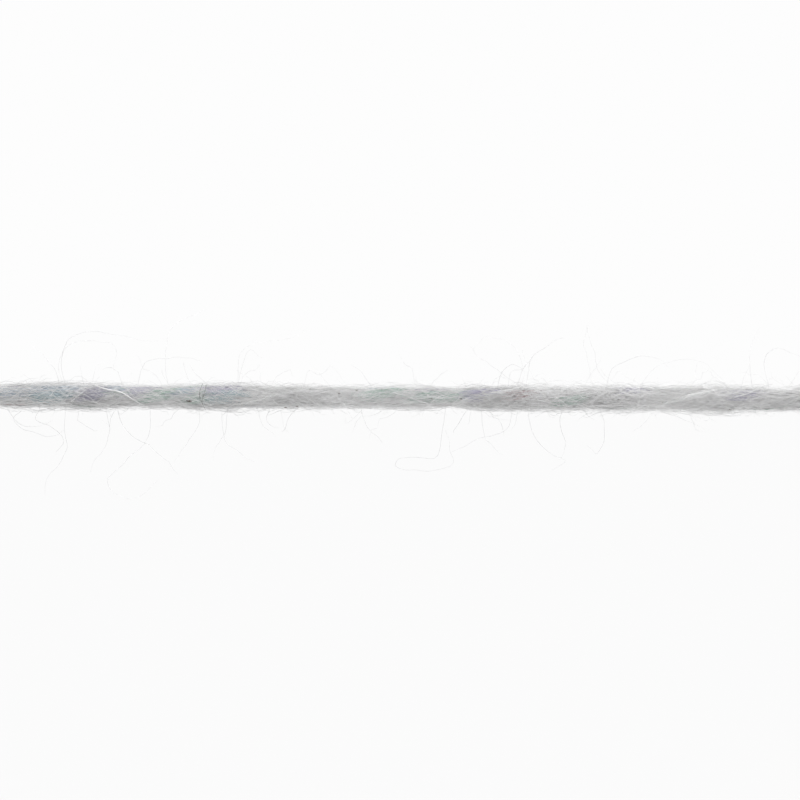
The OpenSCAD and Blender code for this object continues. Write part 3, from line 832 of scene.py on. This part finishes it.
# -------- stray hairs
# Long hairs above and below the strand, each as (x, z) in mm from its root outwards.
ABOVE = (
    ((7.8, 0.9), (7.6, 2.2), (6.6, 3.4), (5.8, 4.4)),
    ((8.2, 0.9), (7.6, 2.4), (8, 4), (9.5, 4.7), (11.9, 4.7), (12.5, 3.8), (12.3, 2.6)),
    ((8.3, 0.9), (8, 2.9), (8.9, 5), (11.3, 5.4), (14.3, 4.9), (16.3, 4.7)),
    ((17.1, 0.9), (16.9, 3), (17.3, 5.6), (18.6, 6.8), (20.3, 7.5)),
    ((10.6, 0.9), (10.8, 2.3), (11.7, 3.4)),
    ((14.5, 0.9), (14.9, 2.5), (15.6, 3.1), (18.6, 3.4), (20, 2.9)),
    ((23.1, 0.9), (23.1, 2.5), (23.3, 3.8), (24.3, 4.5), (26.7, 4.9), (28, 5.2), (28.7, 5.9)),
    ((23.1, 0.9), (23.4, 2.9), (24.1, 4), (25.2, 3.4)),
    ((28.8, 1), (29.2, 2.3), (30.1, 1.9), (31.2, 2.7), (32.3, 1.3)),
    ((34.6, 0.9), (34.1, 1.5), (33.3, 2.4), (32.5, 2.7)),
    ((39.4, 0.8), (39.9, 1.4), (40.9, 2.4)),
    ((47.3, 1), (46, 1.9), (44.5, 3), (43.4, 3.7), (42.7, 4.6)),
    ((47, 1), (47.5, 2.8), (46.9, 4.4), (45.3, 5.2), (44.4, 5.3), (43.2, 4.2)),
    ((47.8, 1), (48.3, 3.3), (49.2, 4.2), (50.4, 4.9), (51.2, 5.3)),
    ((45.4, 1), (45.8, 2.3), (46.7, 2.9), (47.5, 2.3), (47.2, 1.2)),
    ((46.3, 1), (46.5, 2.3), (47.8, 2.8), (47.6, 4)),
    ((55.2, 1), (54.4, 1.9), (53.7, 3.7), (53.2, 5.4), (53, 6.3)),
    ((53.5, 1), (53.1, 3.3), (52.7, 4.7), (53, 6.1)),
    ((54.7, 1), (55.2, 2.5), (56.6, 3.3), (58.5, 3.6), (59.8, 2.8)),
    ((57.6, 1), (58.3, 2.1), (59.5, 3), (61.9, 3.3), (63.6, 2.8), (65.1, 1.6)),
    ((62.7, 1), (62.4, 1.9), (62.5, 3)),
    ((70.1, 1.1), (69.5, 1.6), (68.7, 2.2)),
    ((68.6, 1.1), (68.3, 3.2), (69.1, 4.4), (71.3, 3.6)),
    ((67.2, 1.1), (66.9, 3.2), (67.4, 5.1), (68.1, 6.1)),
)
BELOW = (
    ((4.6, -1.2), (3.9, -1.9), (4.6, -2.9), (6.6, -3.4), (8, -3)),
    ((6.1, -1.2), (5.6, -2.1), (7, -2.7), (8.3, -3.8), (7.7, -4.8)),
    ((3.4, -1.2), (4.1, -2.4), (5.6, -2.7), (7.1, -2)),
    ((8.3, -1.2), (8.1, -3.1), (8.2, -4.6), (7.5, -6), (6.5, -7.2), (6.5, -8.6)),
    ((11.8, -1.2), (12.1, -2), (12.3, -3), (11.7, -4.7), (10.7, -6.4)),
    ((12.8, -1.2), (13.3, -2.4), (14.1, -3.4), (15.6, -4.3), (16.8, -5.6), (18, -6.7)),
    ((19.8, -1.1), (19.7, -2.5), (18.9, -3.8), (18.1, -5.2), (17.2, -6.4)),
    ((15.6, -1.1), (15.2, -3.7), (12.8, -6.1), (11.7, -7.3), (12.5, -8.5), (14.2, -8.8), (16.2, -7.2)),
    ((22.2, -1.1), (22.1, -2.6), (21.5, -4.2), (21.2, -5.5)),
    ((21.7, -1.1), (21.9, -3.4), (22.6, -4.4), (24.6, -5.5)),
    ((24.8, -1.1), (25.3, -2.5), (26.4, -3.5)),
    ((33.7, -1.1), (34.1, -2.4), (34.8, -3.3), (35.5, -3.9)),
    ((40.9, -1.1), (40.5, -3.8), (40.1, -5.1), (38.5, -5.2), (37, -5.3), (36.7, -5.9), (37.9, -6.3),
     (39.6, -6.2), (41.5, -5.8), (41.3, -4.5), (40.9, -2.9)),
    ((46.6, -1.1), (46.3, -2.5), (45.2, -3.2), (43.7, -3.6), (42.1, -4.3), (41.3, -4.9)),
    ((44, -1.1), (44.2, -2.9), (44.9, -4.2), (46, -4.9)),
    ((48, -1.1), (48.2, -2.5), (49, -4), (50.2, -4.9), (51.1, -5.4), (50, -6.2)),
    ((50.9, -1.1), (50.8, -2.2), (51.2, -3.9), (50.6, -5.4)),
    ((54.2, -1.1), (54.4, -2.4), (54.2, -4.1), (53.8, -4.6), (52.9, -4.1)),
    ((61.9, -1), (62.1, -1.9), (62.5, -2.7), (63.7, -2.6)),
    ((25.8, -1.1), (25.7, -2.1), (26.6, -2.8)),
)
# Coarse pale hairs that lie on the side towards -Y, and their bulks as shares of the thickness.
LYING = (
    ((10.9, 0.9), (11.9, 0.6), (13, 0.4), (13.8, 0), (14.7, -0.6), (15.6, -1)),
    ((57.3, -0.65), (57.4, -0.3), (57.45, 0.05)),
    ((57.6, 0.1), (57.9, 0.38), (58.3, 0.42), (58.6, 0.2), (58.7, -0.05)),
    ((65.7, 0.2), (66.5, 0.4), (67.2, 0.7), (68.1, 1.1), (68.9, 1.3)),
    ((3.6, -0.4), (4.1, 0), (4.6, 0.4)),
    ((8.9, -0.5), (9.5, 0), (10.2, 0.5)),
    ((36.3, 0.4), (37.3, 0.2), (38.4, -0.2), (39.4, -0.5)),
    ((48.2, -0.1), (49.4, -0.3), (50.7, -0.6)),
    ((52, 0.6), (53.3, 0.8), (54.5, 0.7)),
)
LYING_BULKS = (1.0, 0.8, 0.45, 0.8, 0.5, 0.4, 0.5, 0.45, 0.4)
# Dark hairs that cross the strand there.
CROSSING = (
    ((20.1, 1.1), (19.9, 0.4), (20, -0.3), (20.3, -1)),
    ((20.4, 1), (20.3, 0.2), (20.1, -0.4), (20.4, -1.2)),
)
CROSSING_BULKS = (1.0, 0.55)
LYING_CLEAR = 0.16  # between the loose fibres and the middle of a hair that lies on them
HAIR_SWAY = 2.2  # about how far a long hair may sway along Y
SWAY_TURN = 5.0  # radians of a hair's bend from root to tip
HAIR_ROOT = 0.4  # height of a hair's root, as a share of where it leaves the strand
HAIR_STEP = 0.16  # between the points of a hair
HAIR_BULKS = (0.75, 1.15)  # of the thickness, where a piece gives none
HAIR_SHADES = (0.1, 0.9)


def standing(hairs, seed):
    """Lines in metres for hairs that stand off the strand and sway to and fro along Y."""
    draw = np.random.default_rng(seed)
    lines = []
    for hair in hairs:
        way = draw.uniform(-1, 1)
        bend = draw.uniform(-0.5, 0.5)
        shares = [i / (len(hair) - 1) for i in range(len(hair))]
        first = (hair[0][0], 0.0, hair[0][1] * HAIR_ROOT)
        sways = [HAIR_SWAY * (way * u + bend * math.sin(SWAY_TURN * u)) for u in shares]
        rest = [(x, y, z) for (x, z), y in zip(hair, sways)]
        lines.append(np.array([first] + rest) * MM)
    return lines


def resting(hairs):
    """Lines in metres for hairs that lie on the side towards -Y."""
    return [np.array([(x, on_skin(x, z)[2] - LYING_CLEAR, z) for x, z in hair]) * MM for hair in hairs]


def hair_piece(name, lines, seed, material, slot, *nodes, thickness, crimp, bulks=None):
    """A piece of hairs, each with its own shade and its own share of the thickness."""
    draw = np.random.default_rng(seed)
    bulks = bulks or draw.uniform(*HAIR_BULKS, len(lines))
    shade = np.concatenate([np.full(len(line), draw.uniform(*HAIR_SHADES)) for line in lines])
    bulk = np.concatenate([np.full(len(line), share) for line, share in zip(lines, bulks)])
    mesh = line_mesh(name, lines, shade=shade, bulk=bulk)
    piece = grown(name, mesh, HAIR_TREE, Step=HAIR_STEP * MM, Thickness=thickness * MM, Crimp=crimp * MM,
                  Route_length=ROUTE_LENGTH, Material=material)
    lay_on(piece, nodes)


hair_piece("long_hairs_above", standing(ABOVE, 3), 5, STRAY_WOOL, "stray_wool", "stray_hairs_upper",
           thickness=0.027, crimp=0.9)
hair_piece("long_hairs_below", standing(BELOW, 9), 7, STRAY_WOOL, "stray_wool", "stray_hairs_lower",
           thickness=0.027, crimp=0.9)
hair_piece("lying_guard_hairs", resting(LYING), 13, PALE_WOOL, "white_wool",
           thickness=0.11, crimp=0.05, bulks=LYING_BULKS)
hair_piece("dark_guard_hairs", resting(CROSSING), 17, DARK_WOOL, "chaff",
           thickness=0.075, crimp=0.05, bulks=CROSSING_BULKS)

# -------- flecks
# Flecks of chaff caught in the wool: x, height, length and thickness in mm, and shade.
FLECKS = (
    (19.0, -0.4, 0.5, 0.23, 0.45), (31.8, 0.3, 0.22, 0.11, 0.7), (33.3, 0.6, 0.24, 0.1, 0.8),
    (33.7, 0.0, 0.2, 0.09, 0.9), (39.7, -0.1, 0.2, 0.09, 0.9), (42.2, -0.1, 0.2, 0.11, 0.7),
    (27.2, -0.9, 0.24, 0.1, 0.8), (28.2, -0.8, 0.26, 0.1, 0.8), (65.3, -0.9, 0.3, 0.17, 0.5),
    (59.4, -0.3, 0.2, 0.09, 0.9),
)
FLECK_CLEAR = 0.1  # between the loose fibres and a fleck's middle
FLECK_LEAN = 0.12
FLECK_FLAT = 0.6  # depth of a fleck as a share of its thickness
FLECK_TAPER = 0.6  # how much thinner its ends are than its middle
FLECK_BEND = 0.02
FLECK_ROUGH = (0.8, 1.1)  # least and greatest share of its height at a corner
FLECK_RINGS = 5
FLECK_SIDES = 6


def fleck_mesh():
    """Small split slivers of straw, each a bent, tapered chip with six sides."""
    draw = np.random.default_rng(29)
    verts, faces, places = [], [], []
    for x, z, length, thickness, shade in FLECKS:
        y = on_skin(x, z)[2] - FLECK_CLEAR
        lean = draw.uniform(-FLECK_LEAN, FLECK_LEAN)
        base = len(verts)
        for i in range(FLECK_RINGS):
            u = i / (FLECK_RINGS - 1) - 0.5
            r = thickness / 2 * (1 - (2 * u) ** 2 * FLECK_TAPER)
            middle = np.array([
                x + u * length * math.cos(lean), y - FLECK_BEND * u * u, z + u * length * math.sin(lean)])
            for j in range(FLECK_SIDES):
                a = 2 * math.pi * j / FLECK_SIDES
                height = math.sin(a) * r * draw.uniform(*FLECK_ROUGH)
                rim = np.array([0, math.cos(a) * r * FLECK_FLAT, height])
                verts.append((middle + rim) * MM)
                places.append((min(max(x / FREE_LENGTH, 0), 1), shade))
        for i in range(FLECK_RINGS - 1):
            for j in range(FLECK_SIDES):
                a = base + i * FLECK_SIDES + j
                b = base + i * FLECK_SIDES + (j + 1) % FLECK_SIDES
                faces.append((a, a + FLECK_SIDES, b + FLECK_SIDES, b))
        last = base + (FLECK_RINGS - 1) * FLECK_SIDES
        faces.append([base + j for j in range(FLECK_SIDES)])
        faces.append([last + j for j in reversed(range(FLECK_SIDES))])
    mesh = bpy.data.meshes.new("chaff_flecks")
    mesh.from_pydata([tuple(v) for v in verts], [], faces)
    uv = mesh.uv_layers.new(name="OFBake")
    for loop in mesh.loops:
        corner = loop.vertex_index
        u, v = places[corner]
        uv.data[loop.index].uv = (u + (corner % 7) * MAP_NUDGE, v + (corner % 5) * MAP_NUDGE)
    mesh.materials.append(CHAFF)
    return mesh


lay_on(linked("straw_flecks", fleck_mesh()), ["chaff_flecks"])
bpy.data.objects.remove(route_line)
